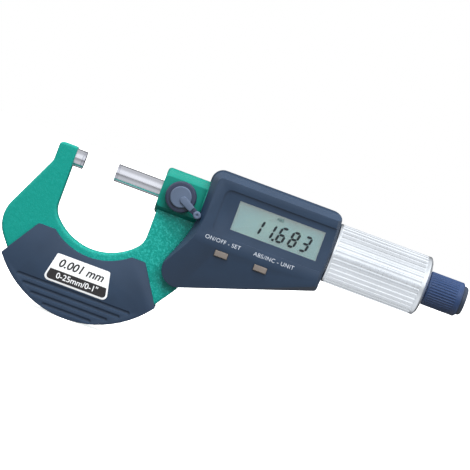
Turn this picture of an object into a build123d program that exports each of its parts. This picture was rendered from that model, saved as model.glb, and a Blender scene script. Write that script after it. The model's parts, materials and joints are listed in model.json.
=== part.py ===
from build123d import *
import math
import os

# Outside micrometer, 0 to 25 mm, with a digital display.
# Millimetres. The origin is the centre of the anvil's measuring face. X runs along the measuring
# axis towards the ratchet, Z is up with the bow of the frame hanging below the axis, and the
# display faces -Y. The tool stands open at the reading that its display shows.

# Measuring line
READING = 11.683            # opening between the measuring faces
SPINDLE_R = 6.35 / 2
CARBIDE = 1.0               # thickness of the hard tips
RUNNING = 0.03              # radial clearance of a bearing

# Bow of the frame
FRAME_T = 9.5
WALL_LEFT = -3.65
WALL_RIGHT = 29.55
THROAT_Z = -28.4
THROAT_R = 20.5
THROAT_CORNER_R = 7.5
BOW_R = 32.7
ARM_RIGHT = 49.0
TIP_TOP = 3.7
BOSS_R = 8.4
BOSS_FACE = 28.5
BOSS_END = 58.0
BOSS_FLAT_Y = -6.3
ANVIL_STEM = (2.25, -9.0)   # radius and left end of the pressed stem
GUIDE_R = 4.8               # bore of the boss ahead of the barrel
WIPER_X = (28.8, 29.8)
RIM_R = 0.9                 # rounding of the bow's rims

# Insulating plates
PLATE_T = 2.6
PLATE_CENTRE = (12.4, -18.5)
PLATE_R = 35.6
PLATE_TOP = -25.8
PLATE_BEVEL = 1.0
RIB_Z = (-44.5, -46.95, -49.4, -51.85)
RIB_GROOVE_W = 0.8
RIB_GROOVE_D = 0.5
PLATE_SCREWS = ((-2.0, -37.5), (27.0, -37.5))

# Housing of the display
HOUSING_TOP = 13.95
HOUSING_LEFT = 43.7
HOUSING_RIGHT = 91.8
HOUSING_FRONT = -12.5
HOUSING_BACK = 11.0
WALL = 1.6
DRAFT = 3.3                 # of the front shell's sides, from the seam forwards
DRAFT_RIGHT = 0.8           # what the side next to the thimble keeps of it
BEVEL_Y = -9.3              # where the bevel round the front starts
BEVEL_ANGLE = 33
BEVEL_RIGHT = 1.4           # by how much the bevel is narrower next to the thimble
CREASE_Z = -11.3            # below this line the front leans back
LEAN = 13.4
SEAM = 0.15                 # half the gasket between the two shells
WINDOW = (55.9, 87.4, -4.5, 6.0)
RECESS = (49.9, 93.0, -7.6, 8.5)
RECESS_D = 0.5
SCREWS = ((50.5, 11.2), (83.8, 11.2), (53.2, -24.6), (83.8, -13.9))
POST_R = 2.0
SCREW_R = 0.95
BOARD_Y = (-9.4, -8.6)
LCD_BACK = -9.7
ROTOR_OPENING_R = 7.9       # in the shells, for the rotor's sleeve

# Buttons
BUTTONS = {"button_on_off": 56.0, "button_unit": 70.4}
BUTTON_Z = -13.85
BUTTON_W = 4.7
BUTTON_H = 2.1
BUTTON_FRONT = -12.35

# Battery
CELL = (64.5, -14.2)
CELL_R = 5.8
CELL_Y = (3.1, 8.5)
COVER_R = 7.2

# Barrel, nut and the drive inside the thimble
BARREL_R = 6.0
BARREL_BORE = 4.3
BARREL_X = (44.0, 115.0)
NUT_X = (58.0, 66.0)
THREAD_X = (44.5, 78.0)
TAIL_END = 109.0
TAIL_R = 2.2
TAIL_FLAT = 1.75
KEY_X = (92.0, 97.0)
DRIVE_X = (119.0, 121.5)    # flange of the drive tube, inside the thimble

# Thimble and ratchet
THIMBLE_R = 10.7
THIMBLE_X = (91.95, 127.4)
THIMBLE_BORE = 8.5
FLUTES = 36
FLUTE_X = (92.3, 124.6)
FLUTE_R = 0.55
KNOB_R = 6.15
KNOB_X = (127.6, 140.3)
KNOB_FLUTES = 40
CAP_END = 142.0

# Spindle lock
LOCK_X = 36.0
LOCK_R = 5.5
LEVER_ANGLE = -28           # of the lever below the axis, in the locked position
LOCK_FRONT = -10.8
SHOE_R = 1.7


def rod(radius, x0, x1, y=0.0, z=0.0):
    """A cylinder along X."""
    return Pos((x0 + x1) / 2, y, z) * Rot(0, 90, 0) * Cylinder(radius, x1 - x0)


def tube(outer, inner, x0, x1):
    return rod(outer, x0, x1) - rod(inner, x0 - 1, x1 + 1)


def pin(radius, x, z, y0, y1):
    """A cylinder along Y."""
    return Pos(x, (y0 + y1) / 2, z) * Rot(90, 0, 0) * Cylinder(radius, y1 - y0)


def block(x0, x1, y0, y1, z0, z1):
    return Pos((x0 + x1) / 2, (y0 + y1) / 2, (z0 + z1) / 2) * Box(x1 - x0, y1 - y0, z1 - z0)


def prism(face, y0, y1):
    """A face drawn in XZ, carried from y0 to y1."""
    return extrude(Pos(0, y1, 0) * face, amount=y1 - y0)


def outline(*corners):
    """A face in XZ from corners (x, z) or (x, z, corner radius)."""
    face = Face(Plane.XZ * Polyline(*(corner[:2] for corner in corners), close=True))
    for x, z, radius in (corner for corner in corners if len(corner) == 3):
        face = fillet(face.vertices().sort_by_distance((x, 0, z))[0], radius)
    return face


def disc(x, z, radius):
    return Plane.XZ * Pos(x, z) * Circle(radius)


def turned(*profile):
    """A turned part from (x, radius) points."""
    return revolve(make_face(Plane.XZ * Polyline(*profile, close=True)), Axis.X)


def double_d(radius, half_flat, x0, x1):
    return rod(radius, x0, x1) & block(x0, x1, -half_flat, half_flat, -radius - 1, radius + 1)


# Frame

def throat():
    """The space inside the bow: straight walls, two corner arcs and one large arc."""
    middle = (WALL_LEFT + WALL_RIGHT) / 2
    centre_z = THROAT_Z + THROAT_R
    reach = middle - WALL_LEFT - THROAT_CORNER_R
    drop = math.sqrt((THROAT_R - THROAT_CORNER_R) ** 2 - reach ** 2)
    corner_z = centre_z - drop
    turn = math.degrees(math.atan2(drop, reach))
    top = TIP_TOP + 20
    lines = Curve() + [
        Line((WALL_LEFT, top), (WALL_LEFT, corner_z)),
        CenterArc((middle - reach, corner_z), THROAT_CORNER_R, 180, turn),
        CenterArc((middle, centre_z), THROAT_R, 180 + turn, 180 - 2 * turn),
        CenterArc((middle + reach, corner_z), THROAT_CORNER_R, 360 - turn, turn),
        Line((WALL_RIGHT, corner_z), (WALL_RIGHT, top)),
        Line((WALL_RIGHT, top), (WALL_LEFT, top)),
    ]
    return make_face(Plane.XZ * lines)


def bow():
    """The bow seen from the front: the left lobe, the round base and the arm under the housing."""
    outer = outline(
        (-10.2, TIP_TOP, 1.3), (-10.2, -3.4, 4), (-22.2, -28.6, 11.8), (15.3, -76.0, BOW_R),
        (45.6, -30.9, 2), (ARM_RIGHT, -24, 3), (ARM_RIGHT, 0))
    return outer - throat()


def frame():
    body = prism(bow(), -FRAME_T / 2, FRAME_T / 2)
    rims = body.edges().filter_by(lambda edge: abs(abs(edge.center().Y) - FRAME_T / 2) < 1e-3)
    body = fillet(rims.filter_by(lambda edge: edge.center().X < ARM_RIGHT - 4), RIM_R)
    boss = rod(BOSS_R, BOSS_FACE, BOSS_END)
    boss = fillet(boss.edges().sort_by(Axis.X)[0], 1.2)
    flat = block(BOSS_FACE - 1, HOUSING_LEFT, -BOSS_R - 1, BOSS_FLAT_Y, -BOSS_R, BOSS_R)
    body += boss - flat
    body -= rod(*ANVIL_STEM, 0)
    body -= rod(GUIDE_R, BOSS_FACE - 1, BARREL_X[0])
    body -= rod(BARREL_R, BARREL_X[0], BOSS_END + 1)
    body -= pin(1.8, LOCK_X, 0, -BOSS_R, 0)
    for x, z in PLATE_SCREWS:
        body -= pin(1.3, x, z, -FRAME_T, FRAME_T)
    return body


def anvil():
    return rod(SPINDLE_R, WALL_LEFT, -CARBIDE) + rod(*ANVIL_STEM, WALL_LEFT)


def anvil_tip():
    return rod(SPINDLE_R, -CARBIDE, 0)


def spindle_wiper():
    return tube(GUIDE_R, SPINDLE_R + RUNNING, *WIPER_X)


def guide_sleeve():
    sleeve = tube(GUIDE_R, SPINDLE_R + RUNNING, WIPER_X[1], BARREL_X[0])
    return sleeve - pin(1.8, LOCK_X, 0, -BOSS_R, 0)


def barrel():
    return tube(BARREL_R, BARREL_BORE, *BARREL_X)


def screw_nut():
    return tube(BARREL_BORE, SPINDLE_R, *NUT_X)


def adjusting_nut():
    ring = tube(BARREL_BORE, SPINDLE_R + 0.1, NUT_X[1], NUT_X[1] + 2.5)
    slot = block(NUT_X[1] + 1.5, NUT_X[1] + 3, 3, 5, -0.4, 0.4)
    return ring - [Rot(angle, 0, 0) * slot for angle in (0, 90, 180, 270)]


def bearing_ring(x0):
    return tube(7.2, BARREL_R, x0, x0 + 1.2)


def stator_disc():
    return tube(8.8, BARREL_R, 86.0, 87.0)


# Insulating plates

def plate(side):
    """A plate on one face of the bow: side is -1 in front and 1 behind."""
    middle = (WALL_LEFT + WALL_RIGHT) / 2
    flank = outline((-7.3, PLATE_TOP, 1.3), (-24, -52), (-24, -60), (49, -60), (49, -52),
                    (32.3, PLATE_TOP, 1.3))
    face = (flank & disc(*PLATE_CENTRE, PLATE_R)) - disc(middle, THROAT_Z + THROAT_R, THROAT_R + 2.4)
    inner = side * FRAME_T / 2
    outer = side * (FRAME_T / 2 + PLATE_T)
    body = prism(face, min(inner, outer), max(inner, outer))
    rim = body.edges().filter_by(lambda edge: abs(edge.center().Y - outer) < 1e-3)
    body = chamfer(rim, PLATE_BEVEL)
    for z in RIB_Z:
        half = math.sqrt(PLATE_R ** 2 - (z - PLATE_CENTRE[1]) ** 2) - 4
        groove = block(PLATE_CENTRE[0] - half, PLATE_CENTRE[0] + half, outer - RIB_GROOVE_D,
                       outer + RIB_GROOVE_D, z - RIB_GROOVE_W / 2, z + RIB_GROOVE_W / 2)
        body -= groove
    for x, z in PLATE_SCREWS:
        if side > 0:
            body -= pin(1.3, x, z, 0, 10)
            body -= pin(2.4, x, z, outer - 1.2, 10)
        else:
            body -= pin(1.0, x, z, outer + 1.0, 0)
    return body


def plate_screw(place):
    x, z = place
    back = FRAME_T / 2 + PLATE_T
    screw = pin(1.0, x, z, -FRAME_T / 2 - 1.4, back - 1.2) + pin(2.2, x, z, back - 1.2, back - 0.2)
    return screw - cross_slot(x, z, back - 0.2, 1.3)


def cross_slot(x, z, y, half):
    cut = block(x - half, x + half, y - 0.5, y + 1, z - 0.2, z + 0.2)
    return cut + block(x - 0.2, x + 0.2, y - 0.5, y + 1, z - half, z + half)


def range_label():
    front = -FRAME_T / 2 - PLATE_T
    face = outline((2.4, -33.2, 0.7), (0.2, -43.3, 1.6), (24.4, -43.3, 1.6), (22.2, -33.2, 0.7))
    return prism(face, front - 0.15, front)


# Housing

def housing_outline(right=HOUSING_RIGHT):
    return outline(
        (HOUSING_LEFT, HOUSING_TOP, 4.2), (HOUSING_LEFT, -8.3, 36.0), (32.7, -35.0, 6.5),
        (right - 0.5, -14.6, 2.1), (right, 1.5, 60), (right - 0.5, HOUSING_TOP, 2.8))


def frame_passage():
    """The space that the frame takes inside the housing, with a hair of clearance."""
    web = prism(offset(bow(), 0.1), -FRAME_T / 2 - 0.1, FRAME_T / 2 + 0.1)
    return web + rod(BOSS_R + 0.1, BOSS_FACE, BOSS_END + 0.3)


def lean_cut(inset=0.0):
    """Everything in front of the leaning lower part of the front."""
    plane = Pos(HOUSING_LEFT, HOUSING_FRONT + inset, CREASE_Z) * Rot(LEAN, 0, 0)
    return plane * Pos(20, -20, -30) * Box(120, 40, 60)


def housing_front():
    face = housing_outline()
    full = prism(face, HOUSING_FRONT - 1, -SEAM)
    drafted = Pos(0, -SEAM, 0) * housing_outline(HOUSING_RIGHT + DRAFT_RIGHT)
    sides = extrude(drafted, amount=-SEAM - HOUSING_FRONT + 1, taper=DRAFT) & full
    inset = (-SEAM - BEVEL_Y) * math.tan(math.radians(DRAFT))
    wide = Pos(0, BEVEL_Y, 0) * offset(housing_outline(HOUSING_RIGHT + BEVEL_RIGHT), -inset)
    cap = extrude(wide, amount=BEVEL_Y - HOUSING_FRONT, taper=BEVEL_ANGLE)
    cap += prism(offset(face, 1), BEVEL_Y, -SEAM)
    body = sides & cap
    body -= lean_cut()
    cavity = prism(offset(face, -WALL - 0.5), BEVEL_Y - 0.4, 0) + (
        prism(offset(face, -WALL - 2.4), HOUSING_FRONT + WALL, 0))
    body -= cavity - lean_cut(WALL)
    for x, z in SCREWS:
        body += pin(POST_R, x, z, BOARD_Y[1] + 0.1, -SEAM)
        body -= pin(SCREW_R, x, z, -5.2, 1)
    x0, x1, z0, z1 = RECESS
    body -= prism(outline((x0, z1, 2.6), (x0, z0, 2.6), (x1, z0), (x1, z1)), HOUSING_FRONT - 1,
                  HOUSING_FRONT + RECESS_D)
    x0, x1, z0, z1 = WINDOW
    body -= block(x0, x1, HOUSING_FRONT - 1, 0, z0, z1)
    body -= block(x0 - 0.9, x1 + 0.9, HOUSING_FRONT + WALL, 0, z0 - 0.9, z1 + 0.9)
    for x in BUTTONS.values():
        body -= button_block(x, 0.12, HOUSING_FRONT - 1, 0)
        body -= block(x - 3.4, x + 3.4, -10.7, 0, BUTTON_Z - 2.1, BUTTON_Z + 2.1)
    body -= frame_passage()
    body -= rod(ROTOR_OPENING_R, 80, 100)
    return body


def housing_back():
    face = housing_outline()
    body = prism(face, SEAM, HOUSING_BACK)
    rim = body.edges().filter_by(lambda edge: abs(edge.center().Y - HOUSING_BACK) < 1e-3)
    body = fillet(rim, 1.5)
    body -= prism(offset(face, -WALL), 0, HOUSING_BACK - WALL)
    cup = pin(COVER_R + 0.5, *CELL, 2.0, HOUSING_BACK - WALL) & prism(face, 0, HOUSING_BACK)
    body += cup
    body -= pin(CELL_R + 0.5, *CELL, 2.8, HOUSING_BACK + 1)
    body -= pin(COVER_R + 0.1, *CELL, 9.2, HOUSING_BACK + 1)
    for x, z in SCREWS:
        body += pin(POST_R, x, z, SEAM, HOUSING_BACK - WALL)
        body -= pin(1.1, x, z, -1, HOUSING_BACK)
        body -= pin(1.8, x, z, HOUSING_BACK - 1.5, HOUSING_BACK + 1)
    body -= frame_passage()
    body -= rod(ROTOR_OPENING_R, 80, 100)
    return body


def housing_gasket(above):
    """One of the two strips between the shells: above the measuring axis or below it."""
    face = housing_outline()
    ring = prism(offset(face, -0.15) - offset(face, -WALL + 0.1), -SEAM, SEAM)
    strips = (ring - frame_passage() - rod(ROTOR_OPENING_R, 80, 100)).solids().sort_by(Axis.Z)
    return strips[-1] if above else strips[0]


def housing_screw(place):
    x, z = place
    head = HOUSING_BACK - 1.5
    screw = pin(SCREW_R, x, z, -5.0, head) + pin(1.7, x, z, head, head + 1.2)
    return screw - cross_slot(x, z, head + 1.2, 1.0)


def display_window():
    x0, x1, z0, z1 = WINDOW
    return block(x0, x1, HOUSING_FRONT + RECESS_D, HOUSING_FRONT + WALL, z0, z1)


def lcd_panel():
    x0, x1, z0, z1 = WINDOW
    return block(x0 - 0.8, x1 + 0.8, HOUSING_FRONT + WALL, LCD_BACK, z0 - 0.8, z1 + 0.8)


def lcd_connector():
    x0, x1, z0, z1 = WINDOW
    return block(x0 + 1, x1 - 3, LCD_BACK, BOARD_Y[0], z1 - 0.6, z1 + 0.4)


def circuit_board():
    edge = outline((49.5, 9.0, 1), (49.5, -16.4, 1), (76, -16.4), (84.8, -10.5), (84.8, 9.0, 1))
    return prism(edge, *BOARD_Y)


def switch_dome(x):
    return pin(1.6, x, BUTTON_Z, BOARD_Y[0] - 0.15, BOARD_Y[0])


def button_block(x, clearance, y0, y1):
    return block(x - BUTTON_W / 2 - clearance, x + BUTTON_W / 2 + clearance, y0, y1,
                 BUTTON_Z - BUTTON_H / 2 - clearance, BUTTON_Z + BUTTON_H / 2 + clearance)


def button(x):
    cap = button_block(x, 0, BUTTON_FRONT, -10.6)
    cap = fillet(cap.edges().group_by(Axis.Y)[0], 0.3)
    flange = block(x - 3.1, x + 3.1, -10.6, -10.2, BUTTON_Z - 1.75, BUTTON_Z + 1.75)
    return cap + flange + pin(0.8, x, BUTTON_Z, -10.2, -9.95)


# Battery

def battery_cell():
    return pin(CELL_R, *CELL, *CELL_Y)


def battery_contact_pos():
    x, z = CELL
    return block(x + CELL_R, x + CELL_R + 0.35, 4.0, 8.0, z - 1.2, z + 1.2)


def battery_contact_neg():
    return pin(3.0, *CELL, CELL_Y[0] - 0.3, CELL_Y[0])


def battery_o_ring():
    return pin(COVER_R - 0.1, *CELL, 9.25, 9.65) - pin(CELL_R + 0.5, *CELL, 9, 10)


def battery_cover():
    x, z = CELL
    cover = pin(COVER_R, x, z, 9.7, HOUSING_BACK)
    cover = fillet(cover.edges().sort_by(Axis.Y)[-1], 0.3)
    cover += pin(CELL_R + 0.35, x, z, 8.7, 9.7) - pin(5.0, x, z, 8, 9.7)
    return cover - block(x - 5.5, x + 5.5, HOUSING_BACK - 0.6, HOUSING_BACK + 1, z - 0.7, z + 0.7)


# Spindle

def spindle():
    body = rod(SPINDLE_R, READING + CARBIDE, THREAD_X[0])
    body += rod(SPINDLE_R - 0.05, *THREAD_X)
    body += double_d(TAIL_R, TAIL_FLAT, THREAD_X[1], TAIL_END)
    return body


def spindle_tip():
    return rod(SPINDLE_R, READING, READING + CARBIDE)


# Thimble

def flute(x0, x1, centre_radius, radius):
    """The cutter of one groove along X, with round ends."""
    return (rod(radius, x0, x1, z=centre_radius) + Pos(x0, 0, centre_radius) * Sphere(radius)
            + Pos(x1, 0, centre_radius) * Sphere(radius))


def thimble():
    x0, x1 = THIMBLE_X
    body = turned(
        (x0, THIMBLE_BORE), (x0, THIMBLE_R - 0.2), (x0 + 0.2, THIMBLE_R), (x1 - 1.2, THIMBLE_R),
        (x1 - 0.4, THIMBLE_R - 1.1), (x1, THIMBLE_R - 3.9), (x1, 2.1), (123.2, 2.1), (123.2, 2.6),
        (DRIVE_X[1], 2.6), (DRIVE_X[1], THIMBLE_BORE))
    cutter = flute(*FLUTE_X, THIMBLE_R + FLUTE_R - 0.42, FLUTE_R)
    return body - [Rot(360 * i / FLUTES, 0, 0) * cutter for i in range(FLUTES)]


def thimble_bush():
    return tube(THIMBLE_BORE, BARREL_R + RUNNING, 100.0, 112.0)


def drive_tube():
    body = rod(BARREL_BORE - 0.12, KEY_X[0], DRIVE_X[0]) + rod(THIMBLE_BORE, *DRIVE_X)
    body -= rod(2.6, KEY_X[1], 125)
    return body - double_d(TAIL_R + 0.05, TAIL_FLAT + 0.05, KEY_X[0] - 1, KEY_X[1] + 1)


def rotor_carrier():
    return tube(THIMBLE_BORE, 6.6, THIMBLE_X[0], 94.5) + tube(7.5, 6.6, 88.3, THIMBLE_X[0])


def rotor_disc():
    return tube(8.8, 6.6, 87.3, 88.3)


# Ratchet

def toothed_ring(x0, x1, tooth_side):
    """A clutch ring with twelve face teeth on its end at tooth_side."""
    ring = tube(4.4, 2.7, x0, x1)
    depth = 0.3
    a, b = (x1 - depth, x1 + 1) if tooth_side > 0 else (x0 - 1, x0 + depth)
    return ring - [Rot(30 * i, 0, 0) * block(a, b, 2, 5, -0.45, 0.45) for i in range(12)]


def ratchet_screw():
    screw = rod(2.1, 123.2, THIMBLE_X[1]) + rod(2.6, THIMBLE_X[1], 135.0) + rod(4.0, 135.0, 137.3)
    socket = extrude(Plane.YZ * Pos(0, 0, 135.9) * RegularPolygon(1.3, 6), amount=3)
    return screw - socket


def ratchet_knob():
    x0, x1 = KNOB_X
    body = turned(
        (x0, 4.7), (x0, KNOB_R - 0.3), (x0 + 0.3, KNOB_R), (x1 - 0.9, KNOB_R), (x1, KNOB_R - 0.9), (x1, 4.7),
        (132.0, 4.7), (132.0, 2.65), (130.5, 2.65), (130.5, 4.7))
    cutter = flute(x0 + 0.9, x1 - 1.7, KNOB_R + 0.1, 0.32)
    return body - [Rot(360 * i / KNOB_FLUTES, 0, 0) * cutter for i in range(KNOB_FLUTES)]


def ratchet_spring():
    """Three dished spring washers."""
    washers = None
    for i in range(3):
        x = 132.0 + 0.85 * i
        lift = 0.45
        a, b = (0, lift) if i % 2 == 0 else (lift, 0)
        washer = turned((x + a, 2.8), (x + b, 4.5), (x + b + 0.45, 4.5), (x + a + 0.45, 2.8))
        washers = washer if washers is None else washers + washer
    return washers


def ratchet_cap():
    x = KNOB_X[1]
    return turned((137.9, 0), (137.9, 4.7), (x, 4.7), (x, 5.1), (CAP_END - 0.8, 5.1), (CAP_END, 4.3), (CAP_END, 0))


# Spindle lock

def lock_lever():
    knob = pin(LOCK_R, LOCK_X, 0, LOCK_FRONT, -6.6)
    knob = chamfer(knob.edges().sort_by(Axis.Y)[0], 1.0)
    arm = Pos(LOCK_X, 0, 0) * Rot(0, -LEVER_ANGLE, 0) * (
        prism(outline((0, 3.4), (0, -3.4), (7.6, -1.3, 0.5), (7.6, 1.3, 0.5)), LOCK_FRONT - 0.2, -9.3)
        + prism(outline((6.8, 1.2, 0.5), (6.8, -1.2, 0.5), (9.9, -1.3, 0.9), (9.9, 1.3, 0.9)), -12.2, -10.7))
    return knob + arm - pin(SHOE_R, LOCK_X, 0, -12, -6)


def lock_screw():
    slot = block(LOCK_X - 1.4, LOCK_X + 1.4, -11, -10.1, -0.3, 0.3)
    return pin(SHOE_R, LOCK_X, 0, -10.5, -4.2) - slot


def lock_shoe():
    return pin(SHOE_R, LOCK_X, 0, -4.1, 0) - rod(SPINDLE_R + RUNNING, LOCK_X - 3, LOCK_X + 3)


PARTS = {
    "frame": frame,
    "anvil": anvil,
    "anvil_tip": anvil_tip,
    "spindle_wiper": spindle_wiper,
    "guide_sleeve": guide_sleeve,
    "barrel": barrel,
    "screw_nut": screw_nut,
    "adjusting_nut": adjusting_nut,
    "bearing_ring_inner": lambda: bearing_ring(98.7),
    "bearing_ring_outer": lambda: bearing_ring(112.1),
    "stator_disc": stator_disc,
    "front_insulating_plate": lambda: plate(-1),
    "rear_insulating_plate": lambda: plate(1),
    "range_label": range_label,
    "housing_front": housing_front,
    "housing_back": housing_back,
    "housing_gasket_top": lambda: housing_gasket(True),
    "housing_gasket_bottom": lambda: housing_gasket(False),
    "display_window": display_window,
    "lcd_panel": lcd_panel,
    "lcd_connector": lcd_connector,
    "circuit_board": circuit_board,
    "battery_cell": battery_cell,
    "battery_contact_pos": battery_contact_pos,
    "battery_contact_neg": battery_contact_neg,
    "battery_o_ring": battery_o_ring,
    "battery_cover": battery_cover,
    "spindle": spindle,
    "spindle_tip": spindle_tip,
    "thimble": thimble,
    "thimble_bush": thimble_bush,
    "drive_tube": drive_tube,
    "rotor_carrier": rotor_carrier,
    "rotor_disc": rotor_disc,
    "ratchet_screw": ratchet_screw,
    "ratchet_ring": lambda: toothed_ring(THIMBLE_X[1], 128.7, 1),
    "ratchet_slider": lambda: toothed_ring(128.9, 130.5, -1),
    "ratchet_knob": ratchet_knob,
    "ratchet_spring": ratchet_spring,
    "ratchet_cap": ratchet_cap,
    "lock_lever": lock_lever,
    "lock_screw": lock_screw,
    "lock_shoe": lock_shoe,
}

os.makedirs("parts", exist_ok=True)
for number, place in enumerate(PLATE_SCREWS, 1):
    PARTS[f"plate_screw_{number}"] = lambda place=place: plate_screw(place)
for number, place in enumerate(SCREWS, 1):
    PARTS[f"housing_screw_{number}"] = lambda place=place: housing_screw(place)
for name, x in BUTTONS.items():
    PARTS[name] = lambda x=x: button(x)
    PARTS[f"switch_dome_{name.removeprefix('button_')}"] = lambda x=x: switch_dome(x)

for name, make in PARTS.items():
    export_step(make(), f"parts/{name}.step")
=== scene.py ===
"""Outside micrometer with a digital display: its visible pieces, finishes, stage and camera."""
import json
import logging
import math
from dataclasses import dataclass, field
from enum import Enum
from typing import Callable, Iterable, NamedTuple, Sequence

import bmesh
import bpy
from mathutils import Matrix, Vector, noise


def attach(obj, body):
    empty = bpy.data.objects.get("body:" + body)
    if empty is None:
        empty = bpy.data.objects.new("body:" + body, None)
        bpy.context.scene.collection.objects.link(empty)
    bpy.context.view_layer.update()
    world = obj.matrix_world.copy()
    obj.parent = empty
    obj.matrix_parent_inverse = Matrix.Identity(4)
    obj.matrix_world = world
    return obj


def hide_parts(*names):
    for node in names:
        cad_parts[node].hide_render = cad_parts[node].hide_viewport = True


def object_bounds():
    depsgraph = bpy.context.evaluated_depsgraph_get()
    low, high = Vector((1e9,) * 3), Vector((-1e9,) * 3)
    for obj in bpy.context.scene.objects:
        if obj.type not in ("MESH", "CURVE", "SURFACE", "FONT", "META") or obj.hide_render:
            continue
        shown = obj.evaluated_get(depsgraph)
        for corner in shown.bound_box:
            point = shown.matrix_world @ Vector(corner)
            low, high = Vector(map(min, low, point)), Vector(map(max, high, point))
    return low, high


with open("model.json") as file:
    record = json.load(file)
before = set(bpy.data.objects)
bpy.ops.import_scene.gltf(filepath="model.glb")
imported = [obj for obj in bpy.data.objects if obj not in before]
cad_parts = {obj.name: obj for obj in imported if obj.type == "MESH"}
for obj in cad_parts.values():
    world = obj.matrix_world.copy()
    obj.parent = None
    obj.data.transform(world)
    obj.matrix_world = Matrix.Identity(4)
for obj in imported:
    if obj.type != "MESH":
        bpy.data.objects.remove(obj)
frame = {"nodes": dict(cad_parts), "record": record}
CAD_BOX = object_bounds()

MM = 0.001
LOG = logging.getLogger("micrometer")


class Corner(NamedTuple):
    """A corner of an outline in millimetres, with the radius that rounds it."""

    x: float
    z: float
    r: float = 0.0


class Body(str, Enum):
    """The rigid bodies that pieces ride on."""

    FRAME = "frame_body"
    THIMBLE = "thimble_body"
    RATCHET = "ratchet_body"
    SPINDLE = "spindle_body"
    LOCK = "lock_body"
    ON_OFF = "on_off_body"
    UNIT = "unit_body"


# --------------------------------------------------------------------------------------------
# Finishes
# --------------------------------------------------------------------------------------------


def linear(red: int, green: int, blue: int) -> tuple[float, float, float, float]:
    """Turns a display colour of 0 to 255 into the linear colour that shaders take.

    Args:
        red, green, blue: the three channels.
    Returns:
        The linear colour with an alpha of one.
    """
    def channel(value: int) -> float:
        """One channel, by the sRGB curve."""
        part = value / 255
        return part / 12.92 if part <= 0.04045 else ((part + 0.055) / 1.055) ** 2.4

    return channel(red), channel(green), channel(blue), 1.0


class NodeSheet:
    """A material's node tree with short ways to add to it."""

    def __init__(self, name: str) -> None:
        """Makes the material with its shader and its object coordinates.

        Args:
            name: the material's name.
        """
        self.material = bpy.data.materials.new(name)
        self.material.use_nodes = True
        self.tree = self.material.node_tree
        self.shader = self.tree.nodes["Principled BSDF"]
        self.place = self.tree.nodes.new("ShaderNodeTexCoord").outputs["Object"]

    def link(self, source: bpy.types.NodeSocket, target: bpy.types.NodeSocket) -> None:
        """Joins two sockets."""
        self.tree.links.new(source, target)

    def stretched(self, scale: Sequence[float]) -> bpy.types.NodeSocket:
        """The object coordinates, scaled unevenly, for grain that runs one way.

        Args:
            scale: the factors along X, Y and Z.
        Returns:
            The scaled coordinates.
        """
        mapping = self.tree.nodes.new("ShaderNodeMapping")
        mapping.inputs["Scale"].default_value = scale
        self.link(self.place, mapping.inputs["Vector"])
        return mapping.outputs["Vector"]

    def noise(self, scale: float, detail: float = 3.0, place: bpy.types.NodeSocket | None = None,
              distortion: float = 0.0) -> bpy.types.NodeSocket:
        """A noise pattern.

        Args:
            scale: cycles per metre.
            detail: octaves.
            place: the coordinates, or None for the plain object coordinates.
            distortion: how much the pattern is pulled about.
        Returns:
            The noise value.
        """
        node = self.tree.nodes.new("ShaderNodeTexNoise")
        node.inputs["Scale"].default_value = scale
        node.inputs["Detail"].default_value = detail
        node.inputs["Distortion"].default_value = distortion
        self.link(place or self.place, node.inputs["Vector"])
        return node.outputs["Fac"]

    def spread(self, value: bpy.types.NodeSocket, low: float, high: float,
               to_low: float, to_high: float) -> bpy.types.NodeSocket:
        """Maps a value from one range to another, held at its ends.

        Args:
            value: the value.
            low, high: its range.
            to_low, to_high: the new range.
        Returns:
            The mapped value.
        """
        node = self.tree.nodes.new("ShaderNodeMapRange")
        for name, number in zip(("From Min", "From Max", "To Min", "To Max"), (low, high, to_low, to_high)):
            node.inputs[name].default_value = number
        self.link(value, node.inputs["Value"])
        return node.outputs["Result"]

    def mixed(self, factor: bpy.types.NodeSocket, first: Sequence[float],
              second: Sequence[float]) -> bpy.types.NodeSocket:
        """A colour between two colours.

        Args:
            factor: 0 for the first, 1 for the second.
            first, second: linear colours.
        Returns:
            The mixed colour.
        """
        node = self.tree.nodes.new("ShaderNodeMix")
        node.data_type = "RGBA"
        node.inputs["A"].default_value = first
        node.inputs["B"].default_value = second
        self.link(factor, node.inputs["Factor"])
        return node.outputs["Result"]

    def bump(self, height: bpy.types.NodeSocket, depth: float, strength: float = 1.0) -> None:
        """Adds relief to the shader.

        Args:
            height: the relief pattern.
            depth: its height in metres.
            strength: how much of it shows.
        """
        node = self.tree.nodes.new("ShaderNodeBump")
        node.inputs["Distance"].default_value = depth
        node.inputs["Strength"].default_value = strength
        self.link(height, node.inputs["Height"])
        self.link(node.outputs["Normal"], self.shader.inputs["Normal"])


@dataclass(frozen=True)
class Finish:
    """What every finish has: a name, the record's slot, a colour and a roughness."""

    name: str
    slot: str
    colour: tuple[float, float, float, float]
    roughness: float = 0.5

    def material(self) -> bpy.types.Material:
        """The finish's material, made once."""
        made = bpy.data.materials.get(self.name)
        if made:
            return made
        sheet = NodeSheet(self.name)
        sheet.shader.inputs["Base Color"].default_value = self.colour
        sheet.shader.inputs["Roughness"].default_value = self.roughness
        self.dress(sheet)
        return sheet.material

    def dress(self, sheet: NodeSheet) -> None:
        """Adds the finish's own pattern; the plain one is a slightly uneven gloss."""
        sheet.link(sheet.spread(sheet.noise(900), 0.3, 0.7, self.roughness * 0.85, self.roughness * 1.15),
                   sheet.shader.inputs["Roughness"])

    def tinted(self, factor: float) -> tuple[float, float, float, float]:
        """The colour made lighter or darker."""
        red, green, blue, alpha = self.colour
        return min(1.0, red * factor), min(1.0, green * factor), min(1.0, blue * factor), alpha


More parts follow.
